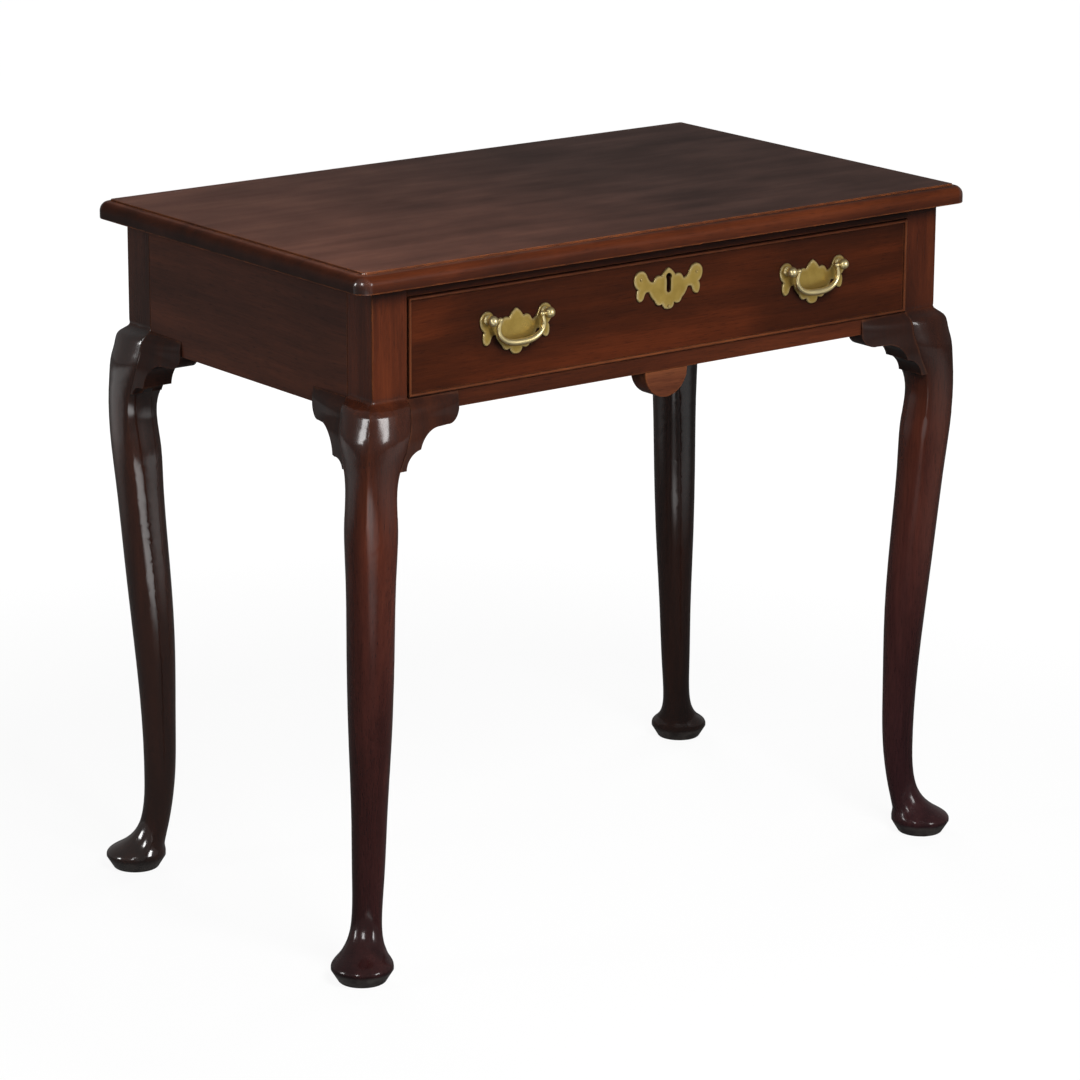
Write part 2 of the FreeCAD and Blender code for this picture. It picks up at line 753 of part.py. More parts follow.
# Batwing plates: half the outline, as shares of the half width and of the height below the crown
def wing_outline(width, tall):
    # Half the outline in shares of half the width and of the height, from the crown down
    crown = [(0.0, 0.0), (0.09, 0.06), (0.20, 0.19)]
    shoulder = [(0.20, 0.19), (0.31, 0.17), (0.44, 0.30)]
    wing = [(0.44, 0.30), (0.60, 0.19), (0.68, 0.05), (0.83, 0.0), (0.97, 0.09), (1.0, 0.26), (0.89, 0.44)]
    tail = [(0.89, 0.44), (0.93, 0.59), (0.85, 0.73), (0.74, 0.68), (0.69, 0.57), (0.57, 0.53)]
    flank = [(0.57, 0.53), (0.51, 0.65), (0.40, 0.77)]
    lobe = [(0.40, 0.77), (0.31, 0.88), (0.17, 0.86)]
    drop = [(0.17, 0.86), (0.13, 0.96), (0.0, 1.0)]
    half = [crown, shoulder, wing, tail, flank, lobe, drop]
    edges = []
    for side, stretches in ((1, half), (-1, half[::-1])):
        for stretch in stretches:
            edges.append(spline([(side * a * width / 2, front_face, -b * tall) for a, b in stretch]))
    return Part.Wire(edges)


def wing_plate(width, tall, x, crown_height):
    shape = Part.Face(wing_outline(width, tall)).extrude(Vector(0, -plate_thickness, 0))
    rim = [e for e in shape.Edges if e.BoundBox.YMax < front_face - plate_thickness + 0.01]
    shape = shape.makeChamfer(plate_bevel, rim)
    shape.translate(Vector(x, 0, crown_height))
    return shape


def brass_post(x):
    # Turned about its own axis: shank, collar, neck and ball
    face = front_face - plate_thickness
    tail_end = front_back + nut_thickness + shank_past_nut
    shank = rod(shank_radius, (x, face, pivot_z), (0, 1, 0), tail_end - face)
    collar = Part.makeCone(post_neck_radius, post_collar_radius, post_collar_height,
                           Vector(x, face - post_collar_height, pivot_z), Vector(0, 1, 0))
    neck = rod(post_neck_radius, (x, face - ball_reach, pivot_z), (0, 1, 0), ball_reach)
    ball = Part.makeSphere(ball_radius, Vector(x, face - ball_reach, pivot_z))
    return shank.fuse([collar, neck, ball]).removeSplitter()


pivot_y = front_face - plate_thickness - ball_reach
socket_radius = bail_pin_radius + bail_pin_gap
ball_face = post_spacing / 2 - ball_radius
pin_end = ball_face + bail_pin_depth
bail_sockets = []
for side in (-1, 1):
    centre = side * handle_place
    for half in (-1, 1):
        start = (centre + half * (ball_face - 1), pivot_y, pivot_z)
        bail_sockets.append(rod(socket_radius, start, (half, 0, 0), bail_pin_depth + 1.3))


def bail(centre):
    # Round bars of growing thickness follow a wide, flat loop from one arm to the other
    half = [(bail_spacing / 2, 0), (bail_width / 2, 0.34), (0.45 * bail_width, 0.68), (0.29 * bail_width, 0.92)]
    left = [(centre - x, pivot_y, pivot_z - share * bail_drop) for x, share in half]
    right = [(2 * centre - x, y, z) for x, y, z in left[::-1]]
    line = Part.BSplineCurve()
    line.interpolate([Vector(*p) for p in left + [(centre, pivot_y, pivot_z - bail_drop)] + right])
    rings = []
    for i in range(bail_rings + 1):
        share = i / bail_rings
        along = line.FirstParameter + share * (line.LastParameter - line.FirstParameter)
        radius = bail_arm_radius + (bail_grip_radius - bail_arm_radius) * sin(pi * share) ** 2
        rings.append(Part.Wire(Part.makeCircle(radius, line.value(along), line.tangent(along)[0])))
    loop = Part.makeLoft(rings, True, False)
    pins = []
    for side in (-1, 1):
        start = (centre + side * bail_spacing / 2, pivot_y, pivot_z)
        pins.append(rod(bail_pin_radius, start, (side, 0, 0), pin_end - bail_spacing / 2))
        pins.append(Part.makeSphere(bail_knuckle_radius, Vector(*start)))
    return loop.fuse(pins).removeSplitter()


shank_holes = [rod(shank_radius + joint_gap, (x, front_face - plate_thickness - 1, pivot_z), (0, 1, 0),
                   plate_thickness + 1) for x in post_places]
for side, word in ((-1, "left"), (1, "right")):
    plate = wing_plate(plate_width, handle_plate_height, side * handle_place, crown_z)
    save(plate.cut(shank_holes), "handle_plate_" + word)
    save(bail(side * handle_place), "bail_" + word)
    pair = [x for x in post_places if x * side > 0]
    group([brass_post(x).cut(bail_sockets) for x in pair], "handle_posts_" + word)

nuts = []
for x in post_places:
    ring = rod(nut_radius, (x, front_back, pivot_z), (0, 1, 0), nut_thickness)
    nuts.append(ring.cut(rod(shank_radius + thread_gap, (x, front_back, pivot_z), (0, 1, 0), nut_thickness)))
group(nuts, "handle_nuts")

key_plate = wing_plate(plate_width, key_plate_height, 0, key_crown)
key_plate = key_plate.cut([keyhole(front_face - plate_thickness, front_face)])
save(key_plate.cut([key_pin_hole(p) for p in key_pin_places]), "escutcheon")
group([key_pin(p) for p in key_pin_places], "escutcheon_pins")
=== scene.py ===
import bpy
import json
from math import radians, sin, cos
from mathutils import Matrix, Quaternion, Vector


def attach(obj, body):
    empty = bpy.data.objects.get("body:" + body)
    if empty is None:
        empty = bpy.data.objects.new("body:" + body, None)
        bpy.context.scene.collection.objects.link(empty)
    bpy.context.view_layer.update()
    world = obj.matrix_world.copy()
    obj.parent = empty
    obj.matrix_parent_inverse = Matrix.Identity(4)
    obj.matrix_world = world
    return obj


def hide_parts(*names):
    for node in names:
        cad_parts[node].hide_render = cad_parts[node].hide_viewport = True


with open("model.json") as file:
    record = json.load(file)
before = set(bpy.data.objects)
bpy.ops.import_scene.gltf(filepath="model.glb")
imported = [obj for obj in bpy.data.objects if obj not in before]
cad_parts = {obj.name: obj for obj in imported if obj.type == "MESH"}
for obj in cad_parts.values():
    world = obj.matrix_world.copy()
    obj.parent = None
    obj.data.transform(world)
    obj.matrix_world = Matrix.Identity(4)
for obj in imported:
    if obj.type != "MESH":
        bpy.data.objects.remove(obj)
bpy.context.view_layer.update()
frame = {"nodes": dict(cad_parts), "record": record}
nodes = frame["nodes"]
bodyOf = {name: body
          for body, names in frame["record"]["behaviour"]["bodies"].items()
          for name in names}
print("frame loaded,", len(nodes), "nodes")


# small helpers for shader trees; a source is an output socket or a plain value
def join(tree, source, target):
    if hasattr(source, "is_output"):
        tree.links.new(source, target)
    else:
        target.default_value = source


def addNode(tree, kind, inputs=None, **settings):
    node = tree.nodes.new("ShaderNode" + kind)
    for name, value in settings.items():
        setattr(node, name, value)
    for name, source in (inputs or {}).items():
        join(tree, source, node.inputs[name])
    return node


def calculate(tree, operation, *sources):
    return addNode(tree, "Math", dict(enumerate(sources)), operation=operation).outputs[0]


def vectorMath(tree, operation, *sources):
    return addNode(tree, "VectorMath", dict(enumerate(sources)), operation=operation).outputs


def remap(tree, source, span, result=(0.0, 1.0)):
    node = addNode(tree, "MapRange", {"Value": source, "From Min": span[0], "From Max": span[1],
                                      "To Min": result[0], "To Max": result[1]})
    return node.outputs["Result"]


def noise(tree, vector, scale, detail, rough=0.5):
    node = addNode(tree, "TexNoise", {"Vector": vector, "Scale": scale, "Detail": detail,
                                      "Roughness": rough})
    return node.outputs


def splitAxes(tree, vector):
    return addNode(tree, "SeparateXYZ", {"Vector": vector}).outputs


def opaque(colour):
    return (*colour, 1.0)


def grey(level):
    return (level, level, level, 1.0)


# inputs 0, 6 and 7 of a colour Mix node are its factor, A and B
def mixColour(tree, amount, first, second, blend="MIX"):
    node = addNode(tree, "Mix", {0: amount, 6: first, 7: second},
                   data_type="RGBA", blend_type=blend)
    return node.outputs[2]


def shade(tree, colour, factor):
    return mixColour(tree, 1.0, colour, factor, "MULTIPLY")


def colourRamp(tree, source, stops):
    node = addNode(tree, "ValToRGB", {"Fac": source})
    ramp = node.color_ramp
    while len(ramp.elements) < len(stops):
        ramp.elements.new(0.5)
    for element, (place, colour) in zip(ramp.elements, stops):
        element.position = place
        element.color = opaque(colour)
    return node.outputs["Color"]


def newGroup(name, inputs, outputs):
    tree = bpy.data.node_groups.new(name, "ShaderNodeTree")
    for label, kind, value in inputs:
        socket = tree.interface.new_socket(label, in_out="INPUT", socket_type="NodeSocket" + kind)
        if value is not None:
            socket.default_value = value
    for label, kind in outputs:
        tree.interface.new_socket(label, in_out="OUTPUT", socket_type="NodeSocket" + kind)
    return tree, tree.nodes.new("NodeGroupInput").outputs, tree.nodes.new("NodeGroupOutput").inputs


# layers of the grain: stretch below 1 draws a layer out along the board
grainLayers = {
    "sway": {"scale": 3.0, "detail": 2.0},
    "streak": {"stretch": 0.07, "detail": 6.0, "rough": 0.62},
    "figure": {"stretch": 0.45, "detail": 3.0, "rough": 0.5},
    "fibre": {"stretch": 0.03, "detail": 2.0, "rough": 0.5, "scale": 700.0},
    "pore": {"stretch": 0.05, "detail": 1.0, "rough": 0.5, "scale": 1500.0, "span": (0.60, 0.72)},
}


# grain that runs along X of the vector it is given
def makeWoodGrain():
    tree, given, result = newGroup(
        "woodGrain",
        [("Vector", "Vector", None), ("Streak Scale", "Float", 40.0),
         ("Figure Scale", "Float", 6.0), ("Waviness", "Float", 0.02)],
        [("Streak", "Float"), ("Figure", "Float"), ("Fibre", "Float"), ("Pore", "Float")])
    sway = noise(tree, given["Vector"], **grainLayers["sway"])
    centred = vectorMath(tree, "SUBTRACT", sway["Color"], (0.5, 0.5, 0.5))
    swing = addNode(tree, "VectorMath", {0: centred[0], "Scale": given["Waviness"]},
                    operation="SCALE")
    bent = vectorMath(tree, "ADD", given["Vector"], swing.outputs[0])

    def drawnOut(layer, scale):
        along = vectorMath(tree, "MULTIPLY", bent[0], (layer["stretch"], 1.0, 1.0))
        return noise(tree, along[0], scale, layer["detail"], layer["rough"])["Fac"]

    fibre, pore = grainLayers["fibre"], grainLayers["pore"]
    join(tree, drawnOut(grainLayers["streak"], given["Streak Scale"]), result["Streak"])
    join(tree, drawnOut(grainLayers["figure"], given["Figure Scale"]), result["Figure"])
    join(tree, drawnOut(fibre, fibre["scale"]), result["Fibre"])
    join(tree, remap(tree, drawnOut(pore, pore["scale"]), pore["span"]), result["Pore"])
    return tree


# waxAndShadeSpan maps how open a place is, from ambient occlusion, to old wax with painted shade;
# noise breaks the rubbed edges into patches
ageing = {"samples": 2, "edgeStart": 0.9985, "waxAndShadeSpan": (0.92, 0.40), "patchScale": 60.0,
          "patchDetail": 4.0, "patchSpan": (0.35, 0.65), "patchDepth": (0.35, 1.0)}


# rubbed edges lightened as worn wood with a painted highlight, and old wax with painted shade where
# surfaces meet
def makeEdgeAge():
    tree, given, result = newGroup(
        "edgeAge",
        [("Edge Radius", "Float", 0.0025), ("Edge Turn", "Float", 0.88),
         ("Wax And Shade Reach", "Float", 0.02)],
        [("Rubbed And Highlit", "Float"), ("Wax And Shade", "Float")])
    rounded = addNode(tree, "Bevel", {"Radius": given["Edge Radius"]}, samples=ageing["samples"])
    surface = addNode(tree, "NewGeometry")
    facing = vectorMath(tree, "DOT_PRODUCT", rounded.outputs["Normal"], surface.outputs["Normal"])
    edge = remap(tree, facing["Value"], (ageing["edgeStart"], given["Edge Turn"]))
    hollow = addNode(tree, "AmbientOcclusion", {"Distance": given["Wax And Shade Reach"]},
                     samples=ageing["samples"])
    waxAndShade = remap(tree, hollow.outputs["AO"], ageing["waxAndShadeSpan"])
    place = addNode(tree, "TexCoord")
    patches = noise(tree, place.outputs["Object"], ageing["patchScale"], ageing["patchDetail"])
    broken = remap(tree, patches["Fac"], ageing["patchSpan"], ageing["patchDepth"])
    openEdge = calculate(tree, "MULTIPLY", edge, calculate(tree, "SUBTRACT", 1.0, waxAndShade))
    join(tree, calculate(tree, "MULTIPLY", openEdge, broken), result["Rubbed And Highlit"])
    join(tree, waxAndShade, result["Wax And Shade"])
    return tree


woodGrain = makeWoodGrain()
edgeAge = makeEdgeAge()
grainTurn = {"x": (0.0, 0.0, 0.0), "xBack": (0.0, 0.0, radians(180)),
             "y": (0.0, 0.0, radians(90)), "z": (0.0, radians(90), 0.0)}


def newMaterial(name):
    material = bpy.data.materials.new(name)
    material.use_nodes = True
    tree = material.node_tree
    return material, tree, tree.nodes["Principled BSDF"]


def setSurface(tree, shader, sources):
    for label, source in sources.items():
        join(tree, source, shader.inputs[label])


def threeTones(tree, pattern, spread, deep, body, glow):
    return colourRamp(tree, pattern, [(0.5 - spread, deep), (0.5, body), (0.5 + spread, glow)])


# the open field of the top has bleached, its moulded edge is still red
def fadeTop(tree, place, pattern, wood, look):
    facing = splitAxes(tree, addNode(tree, "NewGeometry").outputs["Normal"])
    side = splitAxes(tree, place)
    field = remap(tree, facing["Z"], look["fieldFacing"])
    pale = threeTones(tree, pattern, look["spread"],
                      look["fadedDeep"], look["faded"], look["fadedGlow"])
    # painted light: the field is lighter towards its left end
    pale = shade(tree, pale, remap(tree, side["X"], look["paintedLeftLightSpan"], (look["paintedLeftLight"], 1.0)))
    # painted shade: the moulded edge is darker where it faces left; it is also darker along its
    # lower edge
    wood = shade(tree, wood, remap(tree, facing["X"], look["paintedLeftShadeFacing"], (look["paintedLeftShade"], 1.0)))
    wood = shade(tree, wood, remap(tree, side["Z"], look["lowerSpan"], (look["lowerEdge"], 1.0)))
    wood = mixColour(tree, field, wood, pale)
    # hands have polished the rounded corners
    across = calculate(tree, "ABSOLUTE", calculate(tree, "MULTIPLY", facing["X"], facing["Y"]))
    coat = remap(tree, across, look["cornerTurn"], (0.0, look["cornerPolish"]))
    return wood, coat


# a leg is darker towards the bottom as painted shade and plum-brown below, with painted shade on
# its knee, and grey scuffs with a painted floor reflection at its foot
def ageLeg(tree, place, wood, gloss, look):
    height = splitAxes(tree, place)["Z"]
    # painted shade: the leg is darker towards the bottom
    paintedShadeLow = remap(tree, height, (look["paintedShadeBelow"], look["paintedShadeAbove"]), (look["paintedShadeLow"], 1.0))
    wood = shade(tree, wood, paintedShadeLow)
    high = remap(tree, height, (look["paintedShadeBelow"], look["plumTop"]))
    wood = shade(tree, wood, mixColour(tree, high, opaque(look["plum"]), grey(1.0)))
    # painted shade: a darker band on the knee, below the post
    fromBelow = remap(tree, height, look["kneeShadeSpan"], (0.0, look["kneePaintedShade"]))
    toPost = remap(tree, height, (look["kneeShadeEnd"], look["polishTop"]), (1.0, 0.0))
    knee = calculate(tree, "MULTIPLY", fromBelow, toPost)
    wood = mixColour(tree, knee, wood, opaque(look["waxAndShadeColour"]))
    # grey scuffs with a painted reflection of the floor near the foot
    low = remap(tree, height, (look["scuffAndReflectionHeight"], look["scuffAndReflectionHeight"] * look["scuffAndReflectionFull"]))
    patches = noise(tree, place, look["scuffAndReflectionScale"], look["scuffAndReflectionDetail"])
    scuffAndReflection = calculate(tree, "MULTIPLY", low,
                      remap(tree, patches["Fac"], look["scuffAndReflectionSpan"], look["scuffAndReflectionDepth"]))
    wood = mixColour(tree, scuffAndReflection, wood, opaque(look["scuffAndReflectionColour"]))
    gloss = calculate(tree, "MULTIPLY_ADD", scuffAndReflection, look["scuffAndReflectionDull"], gloss)
    fadeOut = (look["polishTop"] - look["polishFade"], look["polishTop"])
    coat = remap(tree, height, fadeOut, (look["coat"], look["postCoat"]))
    return wood, gloss, coat


def woodMaterial(name, look):
    material, tree, shader = newMaterial(name)
    place = addNode(tree, "TexCoord").outputs["Object"]
    turned = addNode(tree, "Mapping", {"Vector": place, "Location": look["cutFrom"],
                                       "Rotation": grainTurn[look["grain"]]})
    grain = addNode(tree, "Group", {
        "Vector": turned.outputs["Vector"], "Streak Scale": look["streakScale"],
        "Figure Scale": look["figureScale"], "Waviness": look["waviness"]},
        node_tree=woodGrain).outputs
    age = addNode(tree, "Group", {"Wax And Shade Reach": look["waxAndShadeReach"]}, node_tree=edgeAge).outputs
    streaks = calculate(tree, "MULTIPLY", grain["Streak"], 1.0 - look["figureShare"])
    pattern = calculate(tree, "MULTIPLY_ADD", grain["Figure"], look["figureShare"], streaks)
    wood = threeTones(tree, pattern, look["spread"], look["deep"], look["body"], look["glow"])
    swing = look["glossSwing"]
    gloss = remap(tree, pattern, look["noiseSpan"], (look["gloss"] + swing, look["gloss"] - swing))
    coat = look["coat"]
    if "faded" in look:
        wood, coat = fadeTop(tree, place, pattern, wood, look)
    poreDepth = calculate(tree, "MULTIPLY", grain["Pore"], look["poreDepth"])
    wood = mixColour(tree, poreDepth, wood, opaque(look["pore"]))
    fibreShade = (1.0 - look["fibre"], 1.0 + look["fibre"])
    wood = shade(tree, wood, remap(tree, grain["Fibre"], look["noiseSpan"], fibreShade))
    # old wax with painted shade darkens the hollows
    waxAndShadeAmount = calculate(tree, "MULTIPLY", age["Wax And Shade"], look["waxAndShade"])
    wood = mixColour(tree, waxAndShadeAmount, wood, opaque(look["waxAndShadeColour"]))
    # worn edges lightened, partly a painted highlight
    rubAndHighlightAmount = calculate(tree, "MULTIPLY", age["Rubbed And Highlit"], look["rubAndHighlight"])
    wood = mixColour(tree, rubAndHighlightAmount, wood, opaque(look["rubAndHighlightColour"]))
    gloss = calculate(tree, "MULTIPLY_ADD", waxAndShadeAmount, look["waxAndShadeDull"], gloss)
    if "scuffAndReflectionHeight" in look:
        wood, gloss, coat = ageLeg(tree, place, wood, gloss, look)
    relief = calculate(tree, "MULTIPLY_ADD", grain["Pore"], look["poreSink"], grain["Fibre"])
    bump = addNode(tree, "Bump", {"Strength": look["relief"], "Distance": look["reliefDepth"],
                                  "Height": relief})
    setSurface(tree, shader, {
        "Base Color": wood, "Roughness": gloss, "Normal": bump.outputs["Normal"],
        "Specular IOR Level": look["polish"], "Coat Weight": coat,
        "Coat Roughness": look["coatBlur"], "Coat IOR": look["coatIndex"]})
    return material


# colours are linear, lengths and heights in metres; cutFrom picks the part of the board
mahogany = {
    "grain": "x", "cutFrom": (0.0, 0.0, 0.0), "streakScale": 42.0, "figureScale": 7.0,
    "figureShare": 0.35, "waviness": 0.02, "spread": 0.16, "noiseSpan": (0.3, 0.7),
    "deep": (0.022, 0.0062, 0.0030), "body": (0.048, 0.0115, 0.0045),
    "glow": (0.092, 0.0215, 0.0075),
    "pore": (0.008, 0.003, 0.002), "poreDepth": 0.5, "poreSink": -0.6, "fibre": 0.12,
    "relief": 0.10, "reliefDepth": 0.0004,
    "waxAndShade": 0.75, "waxAndShadeColour": (0.010, 0.005, 0.004), "waxAndShadeReach": 0.02, "waxAndShadeDull": 0.5,
    "rubAndHighlight": 0.75, "rubAndHighlightColour": (0.20, 0.060, 0.018),
    "gloss": 0.32, "glossSwing": 0.06, "polish": 0.11,
    "coat": 0.02, "coatBlur": 0.12, "coatIndex": 1.45,
}
topLook = {
    **mahogany, "cutFrom": (0.3, 0.1, 0.2), "figureShare": 0.55, "figureScale": 24.0,
    "spread": 0.17, "body": (0.051, 0.0112, 0.0036), "glow": (0.078, 0.0176, 0.0056),
    "fadedDeep": (0.018, 0.0067, 0.0042), "faded": (0.028, 0.0101, 0.0061),
    "fadedGlow": (0.042, 0.0150, 0.0086), "fieldFacing": (0.90, 0.985),
    # painted light: the field is lighter towards its left end
    "paintedLeftLight": 3.0, "paintedLeftLightSpan": (-0.40, 0.10),  # the field is paler towards its left end
    # painted shade: the edge is darker where it faces left; it is also darker along its lower edge
    "paintedLeftShade": 0.5, "paintedLeftShadeFacing": (-0.75, -0.25),  # the edge is darker on the left and below
    "lowerEdge": 0.62, "lowerSpan": (0.698, 0.705),
    "cornerPolish": 1.0, "cornerTurn": (0.08, 0.25), "coatBlur": 0.2, "coatIndex": 1.8,
    "rubAndHighlight": 0.85, "rubAndHighlightColour": (0.31, 0.090, 0.024), "waxAndShadeReach": 0.005,
    "gloss": 0.42, "polish": 0.125,
}
frontLook = {
    **mahogany, "grain": "xBack", "cutFrom": (1.6, -0.03, 0.9), "spread": 0.10,
    "streakScale": 24.0, "figureShare": 0.5, "figureScale": 9.0,
    "deep": (0.020, 0.0054, 0.0024), "body": (0.035, 0.0081, 0.0029),
    "glow": (0.065, 0.0136, 0.0042),
    "polish": 0.06, "coat": 0.0,
}
railLook = {
    **mahogany, "grain": "xBack", "cutFrom": (2.6, 0.87, 0.5),
    "body": (0.049, 0.0114, 0.0041), "glow": (0.084, 0.0192, 0.0064), "polish": 0.08,
}
endLook = {
    **mahogany, "grain": "y", "cutFrom": (0.8, 2.4, 1.6),
    "deep": (0.037, 0.0112, 0.0062), "body": (0.064, 0.0176, 0.0082),
    "glow": (0.102, 0.0265, 0.0105),
}
legLook = {
    **mahogany, "grain": "z", "cutFrom": (0.5, 1.9, 3.1),
    "deep": (0.038, 0.0088, 0.0034), "body": (0.083, 0.0175, 0.0058),
    "glow": (0.150, 0.0330, 0.0104),
    "paintedShadeLow": 0.20, "paintedShadeBelow": 0.06, "paintedShadeAbove": 0.76, "plum": (1.0, 1.3, 4.0), "plumTop": 0.56,
    "kneePaintedShade": 0.55, "kneeShadeSpan": (0.46, 0.53), "kneeShadeEnd": 0.580,
    "scuffAndReflectionHeight": 0.0135, "scuffAndReflectionFull": 0.75, "scuffAndReflectionColour": (0.075, 0.066, 0.060),
    "scuffAndReflectionScale": 70.0, "scuffAndReflectionDetail": 5.0, "scuffAndReflectionSpan": (0.35, 0.62),
    "scuffAndReflectionDepth": (0.25, 0.9), "scuffAndReflectionDull": 0.2,
    "gloss": 0.26, "coat": 0.85, "postCoat": 0.02, "polishTop": 0.589, "polishFade": 0.01,
}
# painted shade: the front right leg is a darker copy of the leg
shadedRightLegLook = {
    **legLook, "cutFrom": (0.9, 2.7, 0.6),
    "deep": (0.030, 0.0071, 0.0029), "body": (0.074, 0.0158, 0.0055),
    "glow": (0.130, 0.0290, 0.0092),
    "paintedShadeLow": 0.31, "paintedShadeAbove": 1.2, "plum": (1.0, 1.48, 4.8), "kneePaintedShade": 0.65, "coat": 0.5,
}
# painted shade: the back left leg is a darker copy of the leg
shadedBackLegLook = {
    **legLook, "cutFrom": (1.5, 0.2, 2.1),
    "deep": (0.020, 0.0062, 0.0036), "body": (0.044, 0.0120, 0.0056),
    "glow": (0.076, 0.0195, 0.0082),
    "paintedShadeLow": 0.42, "plum": (1.0, 1.1, 1.3), "scuffAndReflectionColour": (0.045, 0.036, 0.032),
    "coat": 1.0, "coatIndex": 1.8,
}
# painted shade: the back right leg is darker still
deepShadedBackLegLook = {
    **shadedBackLegLook, "cutFrom": (2.4, 1.3, 0.7),
    "deep": (0.014, 0.0046, 0.0028), "body": (0.030, 0.0088, 0.0044),
    "glow": (0.052, 0.0140, 0.0062),
    "coat": 0.6,
}
bracketLook = {
    **legLook, "cutFrom": (3.3, 0.7, 1.1),
    "deep": (0.020, 0.0052, 0.0024), "body": (0.046, 0.0108, 0.0042),
    "glow": (0.086, 0.0205, 0.0072),
    "paintedShadeLow": 0.14, "plum": (1.0, 1.0, 1.0), "gloss": 0.34, "coat": 0.3,
}
dropLook = {
    **mahogany, "cutFrom": (1.1, 3.0, 0.4),
    "body": (0.085, 0.024, 0.010), "glow": (0.15, 0.048, 0.018),
}
beadLook = {
    **mahogany, "cutFrom": (0.2, 0.6, 2.2), "rubAndHighlight": 0.55,
    "body": (0.060, 0.0155, 0.0064), "glow": (0.11, 0.033, 0.012),
}
beadUprightLook = {**beadLook, "grain": "z"}

oak = {
    **mahogany, "streakScale": 60.0,
    "deep": (0.20, 0.115, 0.055), "body": (0.36, 0.235, 0.125), "glow": (0.48, 0.335, 0.19),
    "pore": (0.10, 0.055, 0.028), "poreDepth": 0.75, "fibre": 0.10, "relief": 0.25,
    "waxAndShade": 0.8, "waxAndShadeColour": (0.07, 0.045, 0.03), "rubAndHighlight": 0.2, "rubAndHighlightColour": (0.45, 0.32, 0.20),
    "gloss": 0.62, "polish": 0.3, "coat": 0.0,
}
oakCross = {**oak, "grain": "y", "cutFrom": (1.2, 0.3, 2.0)}
backLook = {
    **oak, "cutFrom": (2.2, 0.8, 0.1),
    "deep": (0.105, 0.055, 0.027), "body": (0.20, 0.115, 0.060), "glow": (0.29, 0.175, 0.095),
}


def metalMaterial(name, look):
    material, tree, shader = newMaterial(name)
    place = addNode(tree, "TexCoord").outputs["Object"]
    age = addNode(tree, "Group", {
        "Edge Radius": look["border"], "Edge Turn": look["borderTurn"],
        "Wax And Shade Reach": look["dirtAndShadeReach"]},
        node_tree=edgeAge).outputs
    cloud = noise(tree, place, look["cloudScale"], look["noiseDetail"])
    cast = noise(tree, place, look["castScale"], look["noiseDetail"])
    low, high = look["cloudSpan"]
    metal = colourRamp(tree, cloud["Fac"], [(low, look["dull"]), (high, look["body"])])
    # dark patina with painted shade in the hollows, where the bail and posts hide the plate
    dirtAndShade = calculate(tree, "MULTIPLY", age["Wax And Shade"], look["dirtAndShade"])
    metal = mixColour(tree, dirtAndShade, metal, opaque(look["dirtAndShadeColour"]))
    # rubbed borders lightened, partly a painted highlight
    rubAndHighlightAmount = calculate(tree, "MULTIPLY", age["Rubbed And Highlit"], look["rubAndHighlight"])
    metal = mixColour(tree, rubAndHighlightAmount, metal, opaque(look["bright"]))
    glossSpan = (look["gloss"] + look["dullSwing"], look["gloss"] - look["brightSwing"])
    gloss = remap(tree, cloud["Fac"], look["cloudSpan"], glossSpan)
    gloss = calculate(tree, "MULTIPLY_ADD", dirtAndShade, look["dirtAndShadeDull"], gloss)
    bump = addNode(tree, "Bump", {"Strength": look["relief"], "Distance": look["reliefDepth"],
                                  "Height": cast["Fac"]})
    setSurface(tree, shader, {
        "Base Color": metal, "Roughness": gloss, "Normal": bump.outputs["Normal"],
        "Metallic": look["metal"]})
    return material


brass = {
    "dull": (0.46, 0.31, 0.072), "body": (0.62, 0.43, 0.110), "bright": (0.98, 0.84, 0.48),
    "cloudScale": 70.0, "cloudSpan": (0.30, 0.70), "castScale": 900.0, "noiseDetail": 3.0,
    "dirtAndShade": 0.85, "dirtAndShadeColour": (0.20, 0.125, 0.035), "dirtAndShadeReach": 0.028, "dirtAndShadeDull": 0.3,
    "border": 0.0045, "borderTurn": 0.990, "rubAndHighlight": 0.8,
    "metal": 0.93, "gloss": 0.32, "dullSwing": 0.10, "brightSwing": 0.05,
    "relief": 0.05, "reliefDepth": 0.0003,
}
handledBrass = {
    **brass, "dull": (0.82, 0.64, 0.27), "body": (0.92, 0.75, 0.38), "dirtAndShade": 0.4, "gloss": 0.30,
}
iron = {
    **brass, "dull": (0.075, 0.060, 0.052), "body": (0.13, 0.125, 0.12),
    "bright": (0.24, 0.235, 0.23),
    "dirtAndShade": 0.6, "dirtAndShadeColour": (0.06, 0.035, 0.02), "dirtAndShadeReach": 0.008,
    "border": 0.0012, "borderTurn": 0.88, "metal": 1.0, "gloss": 0.48, "relief": 0.35,
}

woods = {
    "top": ("mahoganyTop", topLook), "front": ("mahoganyFront", frontLook),
    "rail": ("mahoganyRail", railLook), "end": ("mahoganyEnd", endLook),
    "leg": ("mahoganyLeg", legLook), "shadedRightLeg": ("mahoganyLegShadedRight", shadedRightLegLook),
    "shadedBackLeg": ("mahoganyLegShadedBack", shadedBackLegLook), "deepShadedLeg": ("mahoganyLegDeepShaded", deepShadedBackLegLook),
    "bracket": ("mahoganyBracket", bracketLook), "drop": ("mahoganyDrop", dropLook),
    "bead": ("mahoganyBead", beadLook), "beadUpright": ("mahoganyBeadUpright", beadUprightLook),
    "oak": ("oakLong", oak), "oakCross": ("oakCross", oakCross), "back": ("oakBack", backLook),
}
metals = {
    "brass": ("castBrass", brass), "handledBrass": ("handledBrass", handledBrass),
    "iron": ("oldIron", iron),
}
materials = {finish: woodMaterial(name, look) for finish, (name, look) in woods.items()}
materials.update({finish: metalMaterial(name, look) for finish, (name, look) in metals.items()})
print("materials made,", len(materials))

